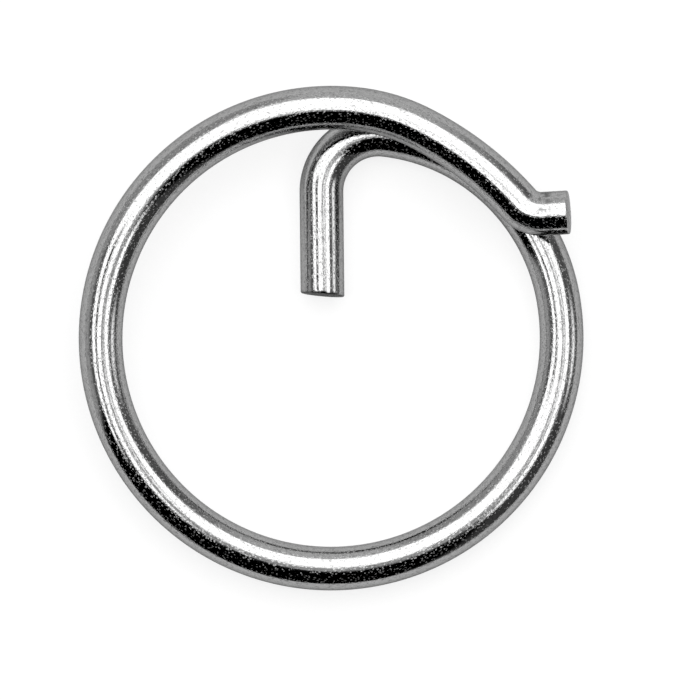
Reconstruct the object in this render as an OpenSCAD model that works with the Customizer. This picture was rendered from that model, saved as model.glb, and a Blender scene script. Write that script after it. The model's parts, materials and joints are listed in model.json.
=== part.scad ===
// Ring cotter pin: one length of round spring wire, bent flat into a ring that laps over itself.
// The straight leg goes through the cross hole of a clevis pin, the ring closes round the shank,
// and the tab is what a thumbnail catches to open it.
// Millimetres. The ring lies on XY, its axis is Z, the leg points along -Y and Z = 0 is the floor.

/* [Wire] */
// Diameter of the wire
wire_d = 2; // [1:0.1:2.6]
// Edge broken on both cropped ends
end_break = 0.08; // [0.02:0.01:0.2]

/* [Ring] */
// Outside diameter of the ring
ring_od = 23; // [21:0.5:40]

/* [Leg] */
// Straight length of the leg, along its middle line
leg_len = 4.7; // [2:0.1:8]
// How far the leg's middle line lies to the left of the ring's centre
leg_offset = 0.4; // [-1:0.1:1.5]
// Inside radius of the bend at the top of the leg
leg_bend_ir = 1.6; // [0.8:0.1:2.4]
// Turn of that bend, in degrees
leg_turn = 97; // [88:1:104]
// Slant of the crop across the leg's end, in degrees
leg_slant = 7; // [0:1:15]
// Which way the slanted end faces, in degrees round the leg, from the left side towards the top
leg_slant_way = 35; // [0:5:90]

/* [Lead-in] */
// Where the lead-in from the leg runs into the ring, in degrees from +X
lead_end = 10; // [0:1:20]

/* [Lap] */
// Where the climb over the leg ends and the second pass begins, in degrees from +X
lap_start = 83; // [78:1:92]
// Turn of each of the two halves of the climb, in degrees
climb_turn = 125; // [60:5:130]
// Air between the second pass and the wire it lies over
lap_gap = 0.05; // [0.02:0.01:0.5]
// Turn of the tight arc that takes the second pass inwards, in degrees
tuck_turn = 20.5; // [19:0.5:22]
// Turn of the slack arc that brings it back over the ring, in degrees
run_turn = 21.5; // [20.5:0.5:23]

/* [Tab] */
// Where the tab is kicked out across the ring, in degrees from +X
tab_station = 35; // [34:0.5:36]
// Inside radius of the kick
tab_bend_ir = 0.35; // [0.2:0.05:1]
// Turn of the kick, in degrees
tab_turn = 52; // [35:1:70]
// Rise of the tab away from the floor, in degrees
tab_lift = 6; // [0:1:15]
// Straight length of the tab
tab_len = 1.2; // [0.6:0.1:4]

/* [Hidden] */
$fn = 72;

wire_r = wire_d / 2;
ring_r = ring_od / 2 - wire_r;
leg_bend_r = leg_bend_ir + wire_r;
tab_bend_r = tab_bend_ir + wire_r;

// The wire is traced clockwise, from the leg to the tab, seen from above.
// Direction from a clockwise arc's centre to the wire, where the wire's heading is h degrees
function outward(h) = [-sin(h), cos(h)];

// Lead-in: the one arc that touches both the leg's bend and the inside of the ring
ring_heading = lead_end - 90;
lead_heading = 90 - leg_turn;
lead_turn = lead_heading - ring_heading;
lead_r = (ring_r * cos(lead_end) + leg_offset - leg_bend_r * (1 + outward(lead_heading).x))
    / (cos(lead_end) - outward(lead_heading).x);
lead_centre = (ring_r - lead_r) * outward(ring_heading);
leg_bend_centre = lead_centre + (lead_r - leg_bend_r) * outward(lead_heading);
leg_top = [-leg_offset, leg_bend_centre.y, wire_r];

// Climb: two arcs tilted opposite ways, which rise by one wire and end back on the ring's circle
climb = wire_d + lap_gap;
climb_reach = climb / (1 - cos(climb_turn));
climb_tilt = atan(climb_reach / (ring_r + sqrt(ring_r ^ 2 - climb_reach ^ 2 * cos(climb_turn))));
crest_slope = asin(sin(climb_turn) * sin(climb_tilt));
crest_tilt = asin(cos(climb_turn) * sin(climb_tilt) / cos(crest_slope));
climb_r = ring_r / ((1 - cos(climb_turn)) * cos(climb_tilt) + cos(climb_turn) / cos(climb_tilt));
climb_span = 2 * atan2(sin(climb_turn) * cos(climb_tilt), cos(climb_turn));
flat_turn = 360 + lead_end - lap_start - climb_span;

// Second pass: two arcs that leave the ring's circle at lap_start and meet it again at tab_station
lap_heading = lap_start - 90;
lap_chord = ring_r * (outward(tab_station - 90) - outward(lap_heading));
tuck_way = outward(lap_heading - tuck_turn) - outward(lap_heading);
run_way = outward(lap_heading - tuck_turn - run_turn) - outward(lap_heading - tuck_turn);
tuck_r = cross(lap_chord, run_way) / cross(tuck_way, run_way);
run_r = cross(tuck_way, lap_chord) / cross(tuck_way, run_way);

// Tab: the kick is rolled a little past half a turn, so that it bends outwards and upwards
tab_roll = 180 + asin(sin(tab_lift) / sin(tab_turn));

// The bends from the leg to the tab, as a wire former makes them: [radius, turn, roll].
// The wire is rolled about its own length, then bent to its right.
BENDS = [
    [leg_bend_r, leg_turn, 0],
    [lead_r, lead_turn, 0],
    [ring_r, flat_turn, 0],
    [climb_r, climb_turn, -climb_tilt],
    [climb_r, climb_turn, 2 * crest_tilt],
    [tuck_r, tuck_turn, -climb_tilt],
    [run_r, run_turn, 0],
    [tab_bend_r, tab_turn, tab_roll]
];
// Neighbours along the wire meet across a step, not on faces that only just coincide: every other
// one is slimmer by this much, and runs this far into the ones beside it
STEP = 0.005;
BITE = 0.05;

// Moves its children to the far end of a bend, facing the way the wire runs on
module past_bend(radius, turn) {
    translate([radius, 0, 0]) rotate([0, 0, -turn]) translate([-radius, 0, 0]) children();
}

// Wire that curves to its right, from the origin along +Y
module bend(radius, turn, slim) {
    bite = slim ? BITE / radius * 180 / PI : 0;
    translate([radius, 0, 0]) rotate_extrude(angle = -turn - 2 * bite, start = 180 + bite)
        translate([radius, 0]) circle(r = slim ? wire_r - STEP : wire_r);
}

// Straight wire along +Y, cropped square or on a slant at its far end, with the sharp edge broken
module cropped_end(length, slant, slant_way, slim) {
    bite = slim ? BITE : 0;
    radius = slim ? wire_r - STEP : wire_r;
    spare = radius * tan(slant);
    tip_r = radius - end_break;
    reach = length + wire_d;
    intersection() {
        translate([0, -bite, 0]) rotate([-90, 0, 0]) cylinder(h = bite + length + spare, r = radius);
        translate([0, length, 0]) rotate([0, -slant_way, 0]) rotate([90, 0, -slant])
            cylinder(h = reach, r1 = tip_r, r2 = tip_r + reach);
    }
}

// The bends from number i on, each carried on the end of the one before, and the tab on the last
module bent_wire(i = 0) {
    slim = i % 2 == 0;
    if (i == len(BENDS)) cropped_end(tab_len, 0, 0, slim);
    else rotate([0, BENDS[i][2], 0]) {
        bend(BENDS[i][0], BENDS[i][1], slim);
        past_bend(BENDS[i][0], BENDS[i][1]) bent_wire(i + 1);
    }
}

module cotter_ring() {
    color("silver") translate(leg_top) {
        rotate([0, 0, 180]) cropped_end(leg_len, leg_slant, leg_slant_way, false);
        bent_wire();
    }
}

cotter_ring();
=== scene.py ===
# %% [markdown]
# # A ring cotter pin in drawn stainless wire
# The real part is one length of hard spring wire. A wire former feeds it, bends it round pins and
# crops it at both ends. So the whole model here is one swept wire too: a route built from the same
# few bends, a round section carried along it, and two cropped ends.
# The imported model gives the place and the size. Everything is in metres, in its frame: the ring
# lies on XY, the leg points along -Y, and the floor is at Z = 0.

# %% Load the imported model
import json
import math
import bpy
import numpy as np
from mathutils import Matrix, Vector, kdtree


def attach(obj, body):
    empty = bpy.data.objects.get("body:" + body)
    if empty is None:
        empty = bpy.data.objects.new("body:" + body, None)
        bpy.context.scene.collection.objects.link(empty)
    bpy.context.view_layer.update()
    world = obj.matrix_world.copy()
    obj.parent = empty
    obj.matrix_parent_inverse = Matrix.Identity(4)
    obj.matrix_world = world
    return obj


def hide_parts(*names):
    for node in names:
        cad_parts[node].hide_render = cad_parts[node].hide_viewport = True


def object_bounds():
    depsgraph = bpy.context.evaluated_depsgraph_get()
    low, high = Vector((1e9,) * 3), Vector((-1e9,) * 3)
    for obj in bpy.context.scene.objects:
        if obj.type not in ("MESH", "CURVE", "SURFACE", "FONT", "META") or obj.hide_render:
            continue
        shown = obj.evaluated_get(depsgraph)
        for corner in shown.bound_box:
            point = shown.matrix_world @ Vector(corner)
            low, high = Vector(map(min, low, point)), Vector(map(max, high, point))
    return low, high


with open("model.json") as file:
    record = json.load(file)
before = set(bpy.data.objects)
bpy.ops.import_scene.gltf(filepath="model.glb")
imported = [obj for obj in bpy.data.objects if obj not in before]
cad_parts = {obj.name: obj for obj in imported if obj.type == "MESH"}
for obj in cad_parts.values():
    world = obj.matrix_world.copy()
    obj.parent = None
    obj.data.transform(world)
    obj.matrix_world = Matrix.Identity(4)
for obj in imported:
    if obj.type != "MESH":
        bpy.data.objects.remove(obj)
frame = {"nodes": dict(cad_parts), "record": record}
CAD_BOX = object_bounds()
MM = 0.001
NODE = "cotter_ring"
LEG_DIMS = next(mount["dims"] for mount in frame["record"]["mounts"] if mount["name"] == "leg")
print("packed box in mm:", [round(c / MM, 2) for corner in CAD_BOX for c in corner])

# %% [markdown]
# ## The sizes
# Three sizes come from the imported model: the wire's radius and the leg's length, which the leg's
# mount states, and the ring's outside diameter, which is the length of the box along Y. That length
# is rounded to a tenth of a millimetre, because the climbing wire bulges past the ring by a hair.
# The rest are the former's settings. Angles are in degrees here, because a person sets them, and
# turn into radians once.

# %% Sizes of the wire and its bends
WIRE_R = LEG_DIMS["r_mm"] * MM
RING_OD = round((CAD_BOX[1].y - CAD_BOX[0].y) / MM, 1) * MM
LEG_LEN = LEG_DIMS["length_mm"] * MM
LEG_OFFSET = 0.4 * MM
LEG_BEND_R = 1.6 * MM + WIRE_R
LEG_TURN = math.radians(97)
LEG_SLANT = math.radians(7)
LEG_SLANT_WAY = math.radians(35)
LEAD_END = math.radians(10)
LAP_START = math.radians(83)
CLIMB_TURN = math.radians(125)
LAP_GAP = 0.05 * MM
TUCK_TURN = math.radians(20.5)
RUN_TURN = math.radians(21.5)
TAB_STATION = math.radians(35)
TAB_BEND_R = 0.35 * MM + WIRE_R
TAB_TURN = math.radians(52)
TAB_LIFT = math.radians(6)
TAB_LEN = 1.2 * MM
EDGE_BREAK = 0.08 * MM
print(f"wire {2 * WIRE_R / MM:.2f} mm, ring {RING_OD / MM:.1f} mm outside")

# %% [markdown]
# ## The bends that follow from them
# Some bends can't be chosen, because the wire has to arrive somewhere. The lead-in is the one arc
# that touches both the leg's bend and the inside of the ring. The climb is two arcs tilted opposite
# ways, which lift the wire by its own thickness and put it back on the ring's circle. The second
# pass is two arcs that leave that circle and meet it again where the tab is kicked out.

# %% Bends worked out from the sizes
RING_R = RING_OD / 2 - WIRE_R
QUARTER = math.pi / 2


def outward(heading):
    """From the centre of a clockwise arc to the wire, where the wire runs at that heading."""
    return Vector((-math.sin(heading), math.cos(heading)))


def cross(a, b):
    return a.x * b.y - a.y * b.x


ring_heading = LEAD_END - QUARTER
lead_heading = QUARTER - LEG_TURN
lead_sine = outward(lead_heading).x
lead_r = (RING_R * math.cos(LEAD_END) + LEG_OFFSET - LEG_BEND_R * (1 + lead_sine))
lead_r /= math.cos(LEAD_END) - lead_sine
lead_centre = (RING_R - lead_r) * outward(ring_heading)
leg_bend_centre = lead_centre + (lead_r - LEG_BEND_R) * outward(lead_heading)
leg_tip = Vector((-LEG_OFFSET, leg_bend_centre.y - LEG_LEN, WIRE_R))

climb = 2 * WIRE_R + LAP_GAP
climb_drop = 1 - math.cos(CLIMB_TURN)
climb_reach = climb / climb_drop
climb_root = math.sqrt(RING_R**2 - climb_reach**2 * math.cos(CLIMB_TURN))
climb_tilt = math.atan(climb_reach / (RING_R + climb_root))
crest_slope = math.asin(math.sin(CLIMB_TURN) * math.sin(climb_tilt))
crest_tilt = math.asin(math.cos(CLIMB_TURN) * math.sin(climb_tilt) / math.cos(crest_slope))
climb_r = RING_R / (climb_drop * math.cos(climb_tilt) + math.cos(CLIMB_TURN) / math.cos(climb_tilt))
climb_span = 2 * math.atan2(math.sin(CLIMB_TURN) * math.cos(climb_tilt), math.cos(CLIMB_TURN))
flat_turn = 2 * math.pi + LEAD_END - LAP_START - climb_span

lap_heading = LAP_START - QUARTER
lap_chord = RING_R * (outward(TAB_STATION - QUARTER) - outward(lap_heading))
tuck_way = outward(lap_heading - TUCK_TURN) - outward(lap_heading)
run_way = outward(lap_heading - TUCK_TURN - RUN_TURN) - outward(lap_heading - TUCK_TURN)
tuck_r = cross(lap_chord, run_way) / cross(tuck_way, run_way)
run_r = cross(tuck_way, lap_chord) / cross(tuck_way, run_way)
tab_roll = math.pi + math.asin(math.sin(TAB_LIFT) / math.sin(TAB_TURN))

# Name, radius, turn to the wire's right, and roll of the wire before it
BENDS = [
    ("leg bend", LEG_BEND_R, LEG_TURN, 0),
    ("lead-in", lead_r, lead_heading - ring_heading, 0),
    ("ring", RING_R, flat_turn, 0),
    ("climb up", climb_r, CLIMB_TURN, -climb_tilt),
    ("climb level", climb_r, CLIMB_TURN, 2 * crest_tilt),
    ("tuck", tuck_r, TUCK_TURN, -climb_tilt),
    ("run", run_r, RUN_TURN, 0),
    ("kick", TAB_BEND_R, TAB_TURN, tab_roll),
]
wire_length = LEG_LEN + sum(radius * turn for _, radius, turn, _ in BENDS) + TAB_LEN
for name, radius, turn, roll in BENDS:
    angles = f"turn {math.degrees(turn):.1f}, roll {math.degrees(roll):.1f}"
    print(f"{name}: radius {radius / MM:.2f} mm, {angles}")
print(f"wire used: {wire_length / MM:.1f} mm")

# %% [markdown]
# ## A short way to write node trees
# A node tree is a list of nodes and links. This helper makes a node, sets what is set on the node
# itself, and fills its inputs: a socket is linked, and anything else is a plain value.

# %% Helpers for node trees


def add(tree, kind, *values, **settings):
    """A node of that kind. Each value goes to the next visible input, and None skips one."""
    node = tree.nodes.new(kind)
    for name, value in settings.items():
        setattr(node, name, value)
    shown = [socket for socket in node.inputs if socket.enabled]
    for socket, value in zip(shown, values):
        fill(tree, socket, value)
    return node


def fill(tree, socket, value):
    """Links a socket to another, or gives it a value."""
    if value is None:
        return
    if isinstance(value, bpy.types.NodeSocket):
        tree.links.new(value, socket)
    else:
        socket.default_value = value


def out(node, index=0):
    """One of a node's visible outputs."""
    return [socket for socket in node.outputs if socket.enabled][index]


def calc(tree, operation, *values):
    return out(add(tree, "ShaderNodeMath", *values, operation=operation))


def vector_calc(tree, operation, *values):
    return out(add(tree, "ShaderNodeVectorMath", *values, operation=operation))


def soft_range(tree, value, none_at, full_at):
    """A mask that rises smoothly from 0 where the value is none_at to 1 where it is full_at."""
    settings = {"interpolation_type": "SMOOTHSTEP"}
    return out(add(tree, "ShaderNodeMapRange", value, none_at, full_at, 0.0, 1.0, **settings))


def hard_range(tree, value, none_at, full_at):
    """The same in a straight line."""
    return out(add(tree, "ShaderNodeMapRange", value, none_at, full_at, 0.0, 1.0))


def mix_colours(tree, share, first, second):
    return out(add(tree, "ShaderNodeMix", share, first, second, data_type="RGBA"))


def new_group(name, kind, inputs, outputs):
    """An empty node group with named sockets, and its two end nodes."""
    tree = bpy.data.node_groups.new(name, kind)
    for label, socket_type, value in inputs:
        socket = tree.interface.new_socket(label, in_out="INPUT", socket_type=socket_type)
        if value is not None:
            socket.default_value = value
    for label, socket_type in outputs:
        tree.interface.new_socket(label, in_out="OUTPUT", socket_type=socket_type)
    return tree, tree.nodes.new("NodeGroupInput"), tree.nodes.new("NodeGroupOutput")


def use_group(parent, group, kind="GeometryNodeGroup", **values):
    """A group placed in another tree, with its inputs given by name, spaces written as _."""
    node = parent.nodes.new(kind)
    node.node_tree = group
    for name, value in values.items():
        fill(parent, node.inputs[name.replace("_", " ")], value)
    return node


# %% [markdown]
# ## Feeding and bending the wire, as nodes
# A former knows two moves: feed the wire forward, and bend it round a pin. Each move is one node
# group here. It takes the route made so far and the frame at its end, adds its own points, and
# hands on the new frame. A frame is a matrix: its Y is the way the wire runs and its X is the
# wire's right. A curve object drawn by hand would need its points typed in, and could not follow
# the sizes.

# %% Node groups for the former's two moves
ROUTE_INPUTS = [
    ("Route", "NodeSocketGeometry", None),
    ("Frame", "NodeSocketMatrix", None),
    ("Along", "NodeSocketFloat", 0.0),
    ("Spacing", "NodeSocketFloat", 0.1 * MM),
]
ROUTE_OUTPUTS = [
    ("Route", "NodeSocketGeometry"),
    ("Frame", "NodeSocketMatrix"),
    ("Along", "NodeSocketFloat"),
]


def point_on_move(tree, length, spacing):
    """How many points a move has, and how far through it each of them is, from 0 to 1."""
    steps = calc(tree, "CEIL", calc(tree, "DIVIDE", length, spacing))
    index = out(tree.nodes.new("GeometryNodeInputIndex"))
    share = calc(tree, "DIVIDE", calc(tree, "ADD", index, 1.0), steps)
    return steps, share


def lay_points(tree, given, steps, share, place, frame_here, length, frame_after, end):
    """Lays a move's points in its frame, joins them to the route and hands on the new frame."""
    spot = out(add(tree, "FunctionNodeTransformPoint", place, frame_here))
    points = out(add(tree, "GeometryNodePoints", steps, spot))
    reach = calc(tree, "MULTIPLY_ADD", length, share, given.outputs["Along"])
    points = store(tree, points, "along", reach)
    points = store(tree, points, "girth", 1.0)
    join = tree.nodes.new("GeometryNodeJoinGeometry")
    tree.links.new(given.outputs["Route"], join.inputs[0])
    tree.links.new(points, join.inputs[0])
    tree.links.new(out(join), end.inputs["Route"])
    frames = add(tree, "FunctionNodeMatrixMultiply", frame_here, frame_after)
    tree.links.new(out(frames), end.inputs["Frame"])
    tree.links.new(calc(tree, "ADD", given.outputs["Along"], length), end.inputs["Along"])


def store(tree, geometry, name, value, data_type="FLOAT"):
    """Keeps a value on every point, under a name that later nodes and the material can read."""
    node = add(tree, "GeometryNodeStoreNamedAttribute", data_type=data_type, domain="POINT")
    shown = [socket for socket in node.inputs if socket.enabled]
    fill(tree, shown[0], geometry)
    shown[2].default_value = name
    fill(tree, shown[3], value)
    return out(node)


def make_feed():
    inputs = ROUTE_INPUTS + [("Length", "NodeSocketFloat", MM)]
    tree, given, end = new_group("feed wire", "GeometryNodeTree", inputs, ROUTE_OUTPUTS)
    length = given.outputs["Length"]
    steps, share = point_on_move(tree, length, given.outputs["Spacing"])
    place = out(add(tree, "ShaderNodeCombineXYZ", 0.0, calc(tree, "MULTIPLY", length, share)))
    ahead = out(add(tree, "ShaderNodeCombineXYZ", 0.0, length))
    frame_after = out(add(tree, "FunctionNodeCombineTransform", ahead))
    lay_points(tree, given, steps, share, place, given.outputs["Frame"], length, frame_after, end)
    return tree


def on_arc(tree, radius, angle):
    """The point on an arc that starts at the origin along +Y and curves to the right."""
    x = calc(tree, "MULTIPLY", radius, calc(tree, "SUBTRACT", 1.0, calc(tree, "COSINE", angle)))
    y = calc(tree, "MULTIPLY", radius, calc(tree, "SINE", angle))
    return out(add(tree, "ShaderNodeCombineXYZ", x, y))


def make_bend():
    inputs = ROUTE_INPUTS + [
        ("Radius", "NodeSocketFloat", MM),
        ("Turn", "NodeSocketFloat", 1.0),
        ("Roll", "NodeSocketFloat", 0.0),
    ]
    tree, given, end = new_group("bend wire", "GeometryNodeTree", inputs, ROUTE_OUTPUTS)
    radius = given.outputs["Radius"]
    turn = given.outputs["Turn"]
    length = calc(tree, "MULTIPLY", radius, turn)
    steps, share = point_on_move(tree, length, given.outputs["Spacing"])
    place = on_arc(tree, radius, calc(tree, "MULTIPLY", turn, share))
    roll = add(tree, "FunctionNodeAxisAngleToRotation", (0, 1, 0), given.outputs["Roll"])
    rolling = out(add(tree, "FunctionNodeCombineTransform", None, out(roll)))
    rolled = out(add(tree, "FunctionNodeMatrixMultiply", given.outputs["Frame"], rolling))
    heading = add(tree, "FunctionNodeAxisAngleToRotation", (0, 0, -1), turn)
    arc_end = on_arc(tree, radius, turn)
    frame_after = out(add(tree, "FunctionNodeCombineTransform", arc_end, out(heading)))
    lay_points(tree, given, steps, share, place, rolled, length, frame_after, end)
    return tree


FEED = make_feed()
BEND = make_bend()
print("former's moves:", FEED.name, "and", BEND.name)

# %% [markdown]
# ## A cropped end
# Side cutters shear the wire, so its end is a face with a broken edge, not a sharp disc. A few
# extra points sit close together at the end of the route, and each has its own girth: small near
# the middle of the face, then growing round a quarter circle of the edge until the wire is at full
# thickness. The face is crowned by a hair, which also keeps the points apart. A mask goes along
# that makes the face matte and paints shade on it: the leg's end, which the shear tore, is darkened
# to stand in for the shadowed floor right under it that the face mirrors. The tab's end, cut clean,
# gets neither.

# %% Node group for a cropped end
FACE_RINGS = 5
EDGE_RINGS = 6
FIRST_RING = 0.3  # how far the innermost ring lies from the middle, in steps between rings
CROWN = 0.02 * MM
# The tab's end gets no painted shade and no tear: 0 turns both off.
TAB_TEAR_AND_SHADE = 0.0


def make_crop():
    inputs = [
        ("Frame", "NodeSocketMatrix", None),
        ("Along", "NodeSocketFloat", 0.0),
        ("Way", "NodeSocketFloat", 1.0),
        ("Wire Radius", "NodeSocketFloat", MM),
        ("Edge Break", "NodeSocketFloat", 0.1 * MM),
        ("Crown", "NodeSocketFloat", 0.01 * MM),
        ("Torn", "NodeSocketFloat", 1.0),
    ]
    outputs = [("Points", "NodeSocketGeometry")]
    tree, given, end = new_group("crop wire", "GeometryNodeTree", inputs, outputs)
    edge = given.outputs["Edge Break"]
    face_r = calc(tree, "SUBTRACT", given.outputs["Wire Radius"], edge)
    index = out(tree.nodes.new("GeometryNodeInputIndex"))
    ring = calc(tree, "ADD", index, FIRST_RING)
    on_face = calc(tree, "MINIMUM", calc(tree, "DIVIDE", ring, FACE_RINGS + FIRST_RING), 1.0)
    on_edge = calc(tree, "MAXIMUM", calc(tree, "SUBTRACT", index, FACE_RINGS), 0.0)
    angle = calc(tree, "MULTIPLY", on_edge, QUARTER / EDGE_RINGS)
    flat_girth = calc(tree, "MULTIPLY", face_r, on_face)
    girth = calc(tree, "MULTIPLY_ADD", edge, calc(tree, "SINE", angle), flat_girth)
    fall = calc(tree, "SUBTRACT", calc(tree, "POWER", on_face, 2.0), 1.0)
    rise = calc(tree, "MULTIPLY", given.outputs["Crown"], fall)
    round_off = calc(tree, "SUBTRACT", 1.0, calc(tree, "COSINE", angle))
    depth = calc(tree, "MULTIPLY_ADD", edge, round_off, rise)
    inward = calc(tree, "MULTIPLY", depth, given.outputs["Way"])
    place = out(add(tree, "ShaderNodeCombineXYZ", 0.0, inward))
    spot = out(add(tree, "FunctionNodeTransformPoint", place, given.outputs["Frame"]))
    points = out(add(tree, "GeometryNodePoints", FACE_RINGS + EDGE_RINGS, spot))
    points = store(tree, points, "along", calc(tree, "ADD", given.outputs["Along"], inward))
    points = store(tree, points, "girth", calc(tree, "DIVIDE", girth, given.outputs["Wire Radius"]))
    on_crop = calc(tree, "SUBTRACT", 1.0, calc(tree, "DIVIDE", on_edge, EDGE_RINGS))
    # This mask makes the end face matte and paints shade on it in the material: a dark colour that
    # stands in for the shadowed floor the face mirrors.
    points = store(tree, points, "crop", calc(tree, "MULTIPLY", on_crop, given.outputs["Torn"]))
    tree.links.new(points, end.inputs["Points"])
    return tree


CROP = make_crop()
print("cropped end:", FACE_RINGS, "rings on the face and", EDGE_RINGS, "round its edge")

# %% [markdown]
# ## The whole wire as one tree
# The tree runs the former's program: crop, feed the leg, eight bends, feed the tab, crop. Points to
# Curves sorts the points by how far along the wire they lie and makes one line of them. Curve to
# Mesh carries a circle along it without twisting it, as bending doesn't twist a real wire. Each
# vertex keeps where it sits on the wire's section and how far along it is, so a material can draw
# lines that run with the wire. Last, the leg's end leans: the crop is on a slant there.

# %% The leg's slanted crop
SLANT_RUN = 2.5 * MM


def lean_of_crop(tree, leg_axis):
    """Moves the points near the leg's tip along the leg, so that its end face is on a slant."""
    along = out(add(tree, "GeometryNodeInputNamedAttribute", "along"))
    fade = add(
        tree, "ShaderNodeMapRange", along, 0.0, SLANT_RUN, 1.0, 0.0, interpolation_type="SMOOTHSTEP"
    )
    here = out(tree.nodes.new("GeometryNodeInputPosition"))
    aside = vector_calc(tree, "SUBTRACT", here, leg_axis)
    steepness = math.tan(LEG_SLANT)
    slope = (-math.cos(LEG_SLANT_WAY) * steepness, 0, math.sin(LEG_SLANT_WAY) * steepness)
    lean = vector_calc(tree, "DOT_PRODUCT", aside, slope)
    return out(add(tree, "ShaderNodeCombineXYZ", 0.0, calc(tree, "MULTIPLY", lean, out(fade))))


# %% Node tree of the whole wire
SIDES = 96
SPACING = 0.115 * MM
WIRE_INPUTS = [
    ("Wire Radius", "NodeSocketFloat", WIRE_R),
    ("Leg Length", "NodeSocketFloat", LEG_LEN),
    ("Tab Length", "NodeSocketFloat", TAB_LEN),
    ("Edge Break", "NodeSocketFloat", EDGE_BREAK),
    ("Spacing", "NodeSocketFloat", SPACING),
    ("Material", "NodeSocketMaterial", None),
]


def next_move(tree, group, before, **values):
    """The former's next move, which takes over the route and its end from the move before."""
    so_far = {name: before.outputs[name] for name in ("Route", "Frame", "Along")}
    return use_group(tree, group, **so_far, **values)


def make_wire_tree():
    inputs = [("Geometry", "NodeSocketGeometry", None)] + WIRE_INPUTS
    outputs = [("Geometry", "NodeSocketGeometry")]
    tree, given, end = new_group("cotter wire", "GeometryNodeTree", inputs, outputs)
    radius = given.outputs["Wire Radius"]
    edge = given.outputs["Edge Break"]
    spacing = given.outputs["Spacing"]
    wire_end = {"Wire_Radius": radius, "Edge_Break": edge, "Crown": CROWN}
    start = out(add(tree, "FunctionNodeCombineTransform", tuple(leg_tip)))
    join = tree.nodes.new("GeometryNodeJoinGeometry")
    first = use_group(tree, CROP, Frame=start, Along=0.0, Way=1.0, **wire_end)
    tree.links.new(first.outputs["Points"], join.inputs[0])
    edge_step = out(add(tree, "ShaderNodeCombineXYZ", 0.0, edge))
    past_edge = out(add(tree, "FunctionNodeCombineTransform", edge_step))
    leg_start = out(add(tree, "FunctionNodeMatrixMultiply", start, past_edge))
    leg_run = calc(tree, "SUBTRACT", given.outputs["Leg Length"], edge)
    move = use_group(tree, FEED, Frame=leg_start, Along=edge, Spacing=spacing, Length=leg_run)
    for name, bend_radius, turn, roll in BENDS:
        settings = {"Radius": bend_radius, "Turn": turn, "Roll": roll}
        move = next_move(tree, BEND, move, Spacing=spacing, **settings)
        move.label = name
    tab_run = calc(tree, "SUBTRACT", given.outputs["Tab Length"], edge)
    move = next_move(tree, FEED, move, Spacing=spacing, Length=tab_run)
    tree.links.new(move.outputs["Route"], join.inputs[0])
    tab_end = out(add(tree, "FunctionNodeMatrixMultiply", move.outputs["Frame"], past_edge))
    tab_reach = calc(tree, "ADD", move.outputs["Along"], edge)
    last = use_group(tree, CROP, Frame=tab_end, Along=tab_reach, Way=-1.0, Torn=TAB_TEAR_AND_SHADE, **wire_end)
    tree.links.new(last.outputs["Points"], join.inputs[0])

    order = out(add(tree, "GeometryNodeInputNamedAttribute", "along"))
    route = out(add(tree, "GeometryNodePointsToCurves", out(join), None, order))
    section = out(add(tree, "GeometryNodeCurvePrimitiveCircle", SIDES, radius))
    on_section = out(tree.nodes.new("GeometryNodeInputPosition"))
    section = store(tree, section, "section", on_section, "FLOAT_VECTOR")
    girth = out(add(tree, "GeometryNodeInputNamedAttribute", "girth"))
    wire = out(add(tree, "GeometryNodeCurveToMesh", route, section, girth, True))
    lean = lean_of_crop(tree, tuple(leg_tip))
    wire = out(add(tree, "GeometryNodeSetPosition", wire, None, None, lean))
    wire = out(add(tree, "GeometryNodeSetShadeSmooth", wire, None, True))
    wire = out(add(tree, "GeometryNodeSetMaterial", wire, None, given.outputs["Material"]))
    tree.links.new(out(add(tree, "GeometryNodeRealizeInstances", wire)), end.inputs["Geometry"])
    return tree


WIRE_TREE = make_wire_tree()
print("wire tree:", len(WIRE_TREE.nodes), "nodes")

# %% [markdown]
# ## The finish: shader groups
# Wire is pulled through a die, which polishes it and leaves fine lines along it. Between the lines
# lie tiny pits from rolling and pickling. Each is one group. The lines are noise that reads where a
# point is on the section, which stays the same along the wire, so they run for many millimetres.
# With a short length the same group gives the grain of the steel instead. The pits are round cells,
# stretched a little along the wire. An image texture would need an unwrapped tube and would blur.

# %% Where a point is on the wire


def wire_coordinates(tree, across, along):
    """Where a point is on the wire, as a vector: its place on the section, then along it."""
    section = add(tree, "ShaderNodeAttribute", attribute_name="section")
    reach = add(tree, "ShaderNodeAttribute", attribute_name="along")
    parts = add(tree, "ShaderNodeSeparateXYZ", section.outputs["Vector"])
    x = calc(tree, "DIVIDE", out(parts, 0), across)
    y = calc(tree, "DIVIDE", out(parts, 1), across)
    z = calc(tree, "DIVIDE", reach.outputs["Fac"], along)
    return out(add(tree, "ShaderNodeCombineXYZ", x, y, z))


# %% Shader groups for drawing lines and pits
LINE_DETAIL = 3.0
LINE_ROUGHNESS = 0.6
PIT_FLOOR = 0.4


def make_lines():
    inputs = [("Width", "NodeSocketFloat", 0.1 * MM), ("Length", "NodeSocketFloat", 10 * MM)]
    outputs = [("Height", "NodeSocketFloat")]
    tree, given, end = new_group("drawing lines", "ShaderNodeTree", inputs, outputs)
    where = wire_coordinates(tree, given.outputs["Width"], given.outputs["Length"])
    lines = add(tree, "ShaderNodeTexNoise", where, 1.0, LINE_DETAIL, LINE_ROUGHNESS)
    tree.links.new(out(lines), end.inputs["Height"])
    return tree


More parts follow.
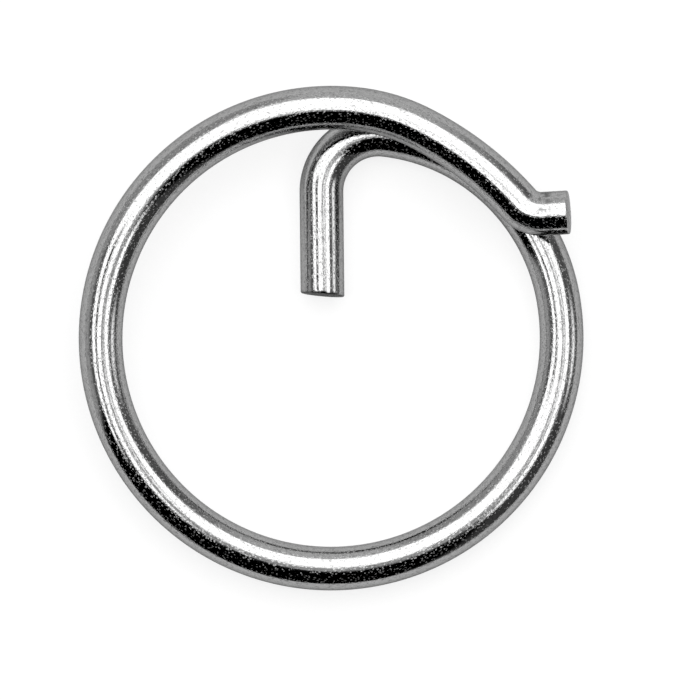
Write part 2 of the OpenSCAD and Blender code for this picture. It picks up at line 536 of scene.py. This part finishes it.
def make_pits():
    inputs = [
        ("Size", "NodeSocketFloat", 0.14 * MM),
        ("Stretch", "NodeSocketFloat", 1.5),
        ("Radius", "NodeSocketFloat", 0.35),
    ]
    tree, given, end = new_group("pits", "ShaderNodeTree", inputs, [("Mask", "NodeSocketFloat")])
    long_size = calc(tree, "MULTIPLY", given.outputs["Size"], given.outputs["Stretch"])
    where = wire_coordinates(tree, given.outputs["Size"], long_size)
    cells = out(add(tree, "ShaderNodeTexVoronoi", where, 1.0))
    rim = given.outputs["Radius"]
    floor_rim = calc(tree, "MULTIPLY", rim, PIT_FLOOR)
    mask = soft_range(tree, cells, rim, floor_rim)
    tree.links.new(mask, end.inputs["Mask"])
    return tree


LINES = make_lines()
PITS = make_pits()
print("shader groups:", LINES.name, "and", PITS.name)

# %% [markdown]
# ## The material
# Polished steel is nearly all reflection, so its colour is a plain grey and most of the work is in
# the roughness and the normals. The pits are dull rather than deep: they scatter the light, which
# shows them as pale specks where the wire mirrors something dark. Deep pits would bend the bright
# bands instead. The peaks of the grain are stained, and show as dark specks in the bright bands.
# The shear has torn the face at the leg's end, which makes it matte; its dark colour is painted
# shade, standing in for the shadowed floor right under the end that the face mirrors. The pin of
# the former has left a darker, slightly dull scuff where the kick runs out into the tab.

# %% Values of the finish
STEEL = (0.44, 0.44, 0.44, 1)
STAINED_STEEL = (0.20, 0.20, 0.20, 1)
SCUFFED_STEEL = (0.17, 0.17, 0.17, 1)
# Painted shade: the dark colour of the cropped end face, standing in for the shadowed floor it
# mirrors.
PAINTED_END_SHADE = (0.04, 0.04, 0.04, 1)
MIRROR_TINT = (0.5, 0.5, 0.5, 1)
POLISHED = 0.05
PIT_DULLNESS = 0.40
TORN_DULLNESS = 0.25
SCUFF_DULLNESS = 0.06
FINE_SIZE = {"Width": 0.07 * MM, "Length": 6 * MM}
GRAIN_SIZE = {"Width": 0.07 * MM, "Length": 0.14 * MM}
PIT_SIZE = {"Size": 0.11 * MM, "Stretch": 1.3, "Radius": 0.46}
FINE_DEPTH = 0.003 * MM
GRAIN_DEPTH = 0.0025 * MM
PIT_DEPTH = -0.001 * MM
STAIN_FROM = 0.52
STAIN_FULL = 0.70
# The end mask carries both the matte tear and the painted shade a little way round the broken edge.
TEAR_AND_SHADE_SPREAD = 1.5  # carries the torn look a little way round the broken edge
print(f"polished steel {STEEL[0]}, roughness {POLISHED}, pits {PIT_SIZE['Size'] / MM:.2f} mm apart")

# %% The scuff of the former's pin
SCUFF_AT = wire_length - TAB_LEN + 0.1 * MM
SCUFF_REACH = 0.5 * MM
SCUFF_MIDDLE = 0.15 * MM
SCUFF_PATCH = {"Width": 0.25 * MM, "Length": 0.35 * MM}
SCUFF_FROM = 0.44
SCUFF_FULL = 0.56


def tool_mark(tree):
    """A patchy mask round the place where the kick runs out into the tab."""
    reach = add(tree, "ShaderNodeAttribute", attribute_name="along").outputs["Fac"]
    away = calc(tree, "ABSOLUTE", calc(tree, "SUBTRACT", reach, SCUFF_AT))
    near = soft_range(tree, away, SCUFF_REACH, SCUFF_MIDDLE)
    scuff = use_group(tree, LINES, "ShaderNodeGroup", **SCUFF_PATCH)
    patchy = hard_range(tree, scuff.outputs["Height"], SCUFF_FROM, SCUFF_FULL)
    return calc(tree, "MULTIPLY", near, patchy)


# %% Material of the wire


def make_steel():
    material = bpy.data.materials.new("drawn_stainless_wire")
    material.use_nodes = True
    tree = material.node_tree
    shader = tree.nodes["Principled BSDF"]
    shader.inputs["Metallic"].default_value = 1.0
    shader.inputs["Specular Tint"].default_value = MIRROR_TINT
    crop = add(tree, "ShaderNodeAttribute", attribute_name="crop").outputs["Fac"]
    tear_and_shade = calc(tree, "MINIMUM", calc(tree, "MULTIPLY", crop, TEAR_AND_SHADE_SPREAD), 1.0)
    fine = use_group(tree, LINES, "ShaderNodeGroup", **FINE_SIZE)
    grain = use_group(tree, LINES, "ShaderNodeGroup", **GRAIN_SIZE)
    pits = use_group(tree, PITS, "ShaderNodeGroup", **PIT_SIZE)
    mark = tool_mark(tree)

    stain = hard_range(tree, grain.outputs["Height"], STAIN_FROM, STAIN_FULL)
    colour = mix_colours(tree, stain, STEEL, STAINED_STEEL)
    colour = mix_colours(tree, mark, colour, SCUFFED_STEEL)
    # Painted shade: the cropped end face is darkened where the end mask is on.
    colour = mix_colours(tree, tear_and_shade, colour, PAINTED_END_SHADE)
    tree.links.new(colour, shader.inputs["Base Color"])

    dull = calc(tree, "MULTIPLY_ADD", pits.outputs["Mask"], PIT_DULLNESS, POLISHED)
    dull = calc(tree, "MAXIMUM", dull, calc(tree, "MULTIPLY", tear_and_shade, TORN_DULLNESS))
    dull = calc(tree, "MULTIPLY_ADD", mark, SCUFF_DULLNESS, dull)
    tree.links.new(dull, shader.inputs["Roughness"])

    normal = None
    for height, depth in ((fine, FINE_DEPTH), (grain, GRAIN_DEPTH), (pits, PIT_DEPTH)):
        bump = add(tree, "ShaderNodeBump", 1.0, depth)
        tree.links.new(out(height), bump.inputs["Height"])
        fill(tree, bump.inputs["Normal"], normal)
        normal = bump.outputs["Normal"]
    tree.links.new(normal, shader.inputs["Normal"])
    return material


steel = make_steel()
print("material:", steel.name, "with", len(steel.node_tree.nodes), "nodes")

# %% [markdown]
# ## Making the piece
# The tree runs as a modifier on an empty mesh. Its result is copied out as a plain mesh, so the
# piece that moves with the model carries no live modifier. The distance from each vertex of the
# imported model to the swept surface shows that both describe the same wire.

# %% The wire as a plain mesh


def run_tree(name, tree, **values):
    """Runs a geometry tree on an empty mesh and returns its result as a plain mesh object."""
    maker = bpy.data.objects.new(name + "_maker", bpy.data.meshes.new(name + "_seed"))
    bpy.context.scene.collection.objects.link(maker)
    modifier = maker.modifiers.new(name, "NODES")
    modifier.node_group = tree
    for item in tree.interface.items_tree:
        key = item.name.replace(" ", "_")
        if item.in_out == "INPUT" and key in values:
            modifier[item.identifier] = values[key]
    view = bpy.context.evaluated_depsgraph_get()
    mesh = bpy.data.meshes.new_from_object(maker.evaluated_get(view), depsgraph=view)
    bpy.data.objects.remove(maker)
    piece = bpy.data.objects.new(name, mesh)
    bpy.context.scene.collection.objects.link(piece)
    return piece


def enclosed_volume(mesh):
    mesh.calc_loop_triangles()
    spots = np.array([v.co for v in mesh.vertices])
    corners = np.array([t.vertices for t in mesh.loop_triangles])
    a, b, c = spots[corners[:, 0]], spots[corners[:, 1]], spots[corners[:, 2]]
    return float(np.einsum("ij,ij->i", a, np.cross(b, c)).sum() / 6)


wire = run_tree(
    "wire",
    WIRE_TREE,
    Wire_Radius=WIRE_R,
    Leg_Length=LEG_LEN,
    Tab_Length=TAB_LEN,
    Edge_Break=EDGE_BREAK,
    Spacing=SPACING,
    Material=steel,
)
if enclosed_volume(wire.data) < 0:
    wire.data.flip_normals()
wire_volume = enclosed_volume(wire.data)
print(f"wire: {len(wire.data.loop_triangles)} triangles, {wire_volume / MM**3:.2f} mm3 of steel")

# %% How far the two models lie apart
swept = kdtree.KDTree(len(wire.data.vertices))
for number, vertex in enumerate(wire.data.vertices):
    swept.insert(vertex.co, number)
swept.balance()
gaps = []
for vertex in frame["nodes"][NODE].data.vertices:
    near, number, _ = swept.find(vertex.co)
    outwards = wire.data.vertices[number].normal
    gaps.append(abs((vertex.co - near).dot(outwards)))
print(f"packed surface to swept surface: at most {max(gaps) / MM:.3f} mm")

# %% The wire rides on the model
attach(wire, "root")
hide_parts(NODE)

# %% [markdown]
# ## Floor
# The part lies on plain pale paper. To the camera the paper glows a little on top of the light that
# it gets, so that it reads as white and still keeps the shadow. In mirror reflections it has no
# glow but is paler, so the wire shows the paper under it with the dark line where they touch.

# %% Floor
FLOOR_HALF = 3.0
PAPER = (0.22, 0.22, 0.22, 1)
MIRRORED_PAPER = (0.72, 0.72, 0.72, 1)
PAPER_GLOW = 0.80


def make_paper():
    material = bpy.data.materials.new("paper_floor")
    material.use_nodes = True
    tree = material.node_tree
    tree.nodes.remove(tree.nodes["Principled BSDF"])
    rays = tree.nodes.new("ShaderNodeLightPath")
    colour = mix_colours(tree, rays.outputs["Is Glossy Ray"], PAPER, MIRRORED_PAPER)
    paper = add(tree, "ShaderNodeBsdfDiffuse", colour)
    seen = calc(tree, "ADD", rays.outputs["Is Camera Ray"], rays.outputs["Is Transmission Ray"])
    glow = add(tree, "ShaderNodeEmission", (1, 1, 1, 1), calc(tree, "MULTIPLY", seen, PAPER_GLOW))
    both = add(tree, "ShaderNodeAddShader", out(paper), out(glow))
    tree.links.new(out(both), tree.nodes["Material Output"].inputs["Surface"])
    return material


floor_mesh = bpy.data.meshes.new("floor")
ways = [(-1, -1), (1, -1), (1, 1), (-1, 1)]
corners = [(x * FLOOR_HALF, y * FLOOR_HALF, 0) for x, y in ways]
floor_mesh.from_pydata(corners, [], [(0, 1, 2, 3)])
floor_mesh.materials.append(make_paper())
floor = bpy.data.objects.new("floor", floor_mesh)
bpy.context.scene.collection.objects.link(floor)
print("floor:", 2 * FLOOR_HALF, "m of pale paper each way")

# %% [markdown]
# ## The studio
# A mirror-like wire shows the room it lies in, so the room is the main part of the light. It is
# drawn on the world as a chart of the sky: the point overhead is in the middle, the horizon is a
# circle at 90 degrees, and a patch on the chart is a window, a cloth or a wall. A broad window with
# bars stands over the part, dark cloths hang on the near side, the walls left and right are grey,
# and there is a curtain far back on the left and a small lamp on the right. Rounded patches with
# soft edges are enough, because a thin wire squeezes the whole room into a band a millimetre or two
# wide.

# %% Shader group for the sky chart


def make_chart():
    tree, given, end = new_group("sky chart", "ShaderNodeTree", [], [("Chart", "NodeSocketVector")])
    way = tree.nodes.new("ShaderNodeTexCoord").outputs["Generated"]
    parts = add(tree, "ShaderNodeSeparateXYZ", vector_calc(tree, "NORMALIZE", way))
    height = calc(tree, "MINIMUM", calc(tree, "MAXIMUM", out(parts, 2), -1.0), 1.0)
    tilt = calc(tree, "DEGREES", calc(tree, "ARCCOSINE", height))
    flat = out(add(tree, "ShaderNodeCombineXYZ", out(parts, 0), out(parts, 1), 0.0))
    unit = vector_calc(tree, "NORMALIZE", flat)
    tree.links.new(vector_calc(tree, "SCALE", unit, tilt), end.inputs["Chart"])
    return tree


# %% Shader group for a soft patch


def make_patch():
    inputs = [
        ("Chart", "NodeSocketVector", None),
        ("Centre", "NodeSocketVector", None),
        ("Half Size", "NodeSocketVector", (10, 10, 1)),
        ("Lean", "NodeSocketFloat", 0.0),
        ("Squareness", "NodeSocketFloat", 2.0),
        ("Softness", "NodeSocketFloat", 0.1),
    ]
    tree, given, end = new_group("soft patch", "ShaderNodeTree", inputs, [("Mask", "NodeSocketFloat")])
    power = given.outputs["Squareness"]
    offset = vector_calc(tree, "SUBTRACT", given.outputs["Chart"], given.outputs["Centre"])
    back = calc(tree, "MULTIPLY", calc(tree, "RADIANS", given.outputs["Lean"]), -1.0)
    offset = out(add(tree, "ShaderNodeVectorRotate", offset, (0, 0, 0), back, rotation_type="Z_AXIS"))
    shape = vector_calc(tree, "DIVIDE", offset, given.outputs["Half Size"])
    sides = add(tree, "ShaderNodeSeparateXYZ", vector_calc(tree, "ABSOLUTE", shape))
    powers = [calc(tree, "POWER", out(sides, axis), power) for axis in (0, 1)]
    reach = calc(tree, "POWER", calc(tree, "ADD", *powers), calc(tree, "DIVIDE", 1.0, power))
    outer = calc(tree, "ADD", 1.0, given.outputs["Softness"])
    inner = calc(tree, "SUBTRACT", 1.0, given.outputs["Softness"])
    tree.links.new(soft_range(tree, reach, outer, inner), end.inputs["Mask"])
    return tree


CHART = make_chart()
PATCH = make_patch()
print("studio groups:", CHART.name, "and", PATCH.name)

# %% The room
WINDOW = 2.9
LAMP = 2.0
ROOM = 0.80
# Name, brightness, centre and half size on the chart in degrees, turn to the left in degrees,
# squareness (2 is an ellipse, more is nearer a rectangle) and softness. Later ones cover earlier.
STUDIO = [
    ("left wall", 0.58, (-84, 12, 0), (32, 56, 1), 0, 2, 0.3),
    ("left window frame", 0.16, (-53, 2, 0), (12, 36, 1), 6, 2, 0.6),
    ("right wall", 0.16, (78, 18, 0), (44, 66, 1), 0, 2, 0.4),
    ("dark corner", 0.08, (56, -48, 0), (48, 34, 1), 0, 2, 0.3),
    ("dark cloth", 0.0, (-24, -60, 0), (64, 44, 1), 0, 2, 0.08),
    ("dark cloth near", 0.0, (9, -49, 0), (24, 38, 1), 0, 2, 0.10),
    ("left window bar", 0.10, (-25, 0, 0), (10, 18, 1), 12, 3, 0.2),
    ("right window bar", 0.60, (11, -3, 0), (11, 13, 1), 0, 3, 0.2),
    ("window head", WINDOW, (-6, 28, 0), (43, 23.5, 1), 0, 2.1, 0.10),
    ("window left", WINDOW, (-38.5, 0, 0), (7, 23, 1), 20, 4, 0.15),
    ("window middle", WINDOW, (-9.5, 4, 0), (11, 20, 1), 0, 2.5, 0.10),
    ("window strip", WINDOW, (12.5, 9, 0), (2.5, 16, 1), 0, 3, 0.3),
    ("window right", WINDOW, (30.5, 4, 0), (9, 29, 1), -8, 3, 0.15),
    ("curtain", 0.50, (-70, 75, 0), (55, 55, 1), 0, 2, 0.12),
    ("small lamp", LAMP, (65, -4, 0), (8, 13, 1), 0, 2, 0.6),
]


def make_studio():
    world = bpy.data.worlds.new("studio")
    world.use_nodes = True
    tree = world.node_tree
    chart = out(use_group(tree, CHART, "ShaderNodeGroup"))
    light = ROOM
    for name, brightness, centre, half_size, lean, squareness, softness in STUDIO:
        place = {"Chart": chart, "Centre": centre, "Half_Size": half_size, "Lean": lean}
        edge = {"Squareness": squareness, "Softness": softness}
        patch = use_group(tree, PATCH, "ShaderNodeGroup", **place, **edge)
        patch.label = name
        cover = add(tree, "ShaderNodeMix", out(patch), light, brightness, data_type="FLOAT")
        light = out(cover)
    backdrop = tree.nodes["Background"]
    tree.links.new(light, backdrop.inputs["Strength"])
    backdrop.inputs["Color"].default_value = (1, 1, 1, 1)
    bpy.context.scene.world = world


make_studio()
print("studio:", len(STUDIO), "patches on the sky chart")

# %% [markdown]
# ## Camera
# The part is seen from straight above through a long lens, so that the lap, which lies one wire
# higher, is hardly drawn larger than the ring under it.

# %% Camera
VIEW_WIDTH = 1.39 * RING_OD
VIEW_DISTANCE = 1.3
AIM = Vector((0.0360 * RING_OD, -0.0243 * RING_OD, WIRE_R))
CAMERA_ROLL = math.radians(-0.62)
lens = bpy.data.cameras.new("camera")
lens.lens = lens.sensor_width * VIEW_DISTANCE / VIEW_WIDTH
camera = bpy.data.objects.new("camera", lens)
camera.location = AIM + Vector((0, 0, VIEW_DISTANCE))
camera.rotation_euler = (0, 0, CAMERA_ROLL)
bpy.context.scene.collection.objects.link(camera)
bpy.context.scene.camera = camera
bpy.context.scene.view_settings.view_transform = "Standard"
print(f"camera: {VIEW_DISTANCE} m above the part, {lens.lens:.0f} mm lens")
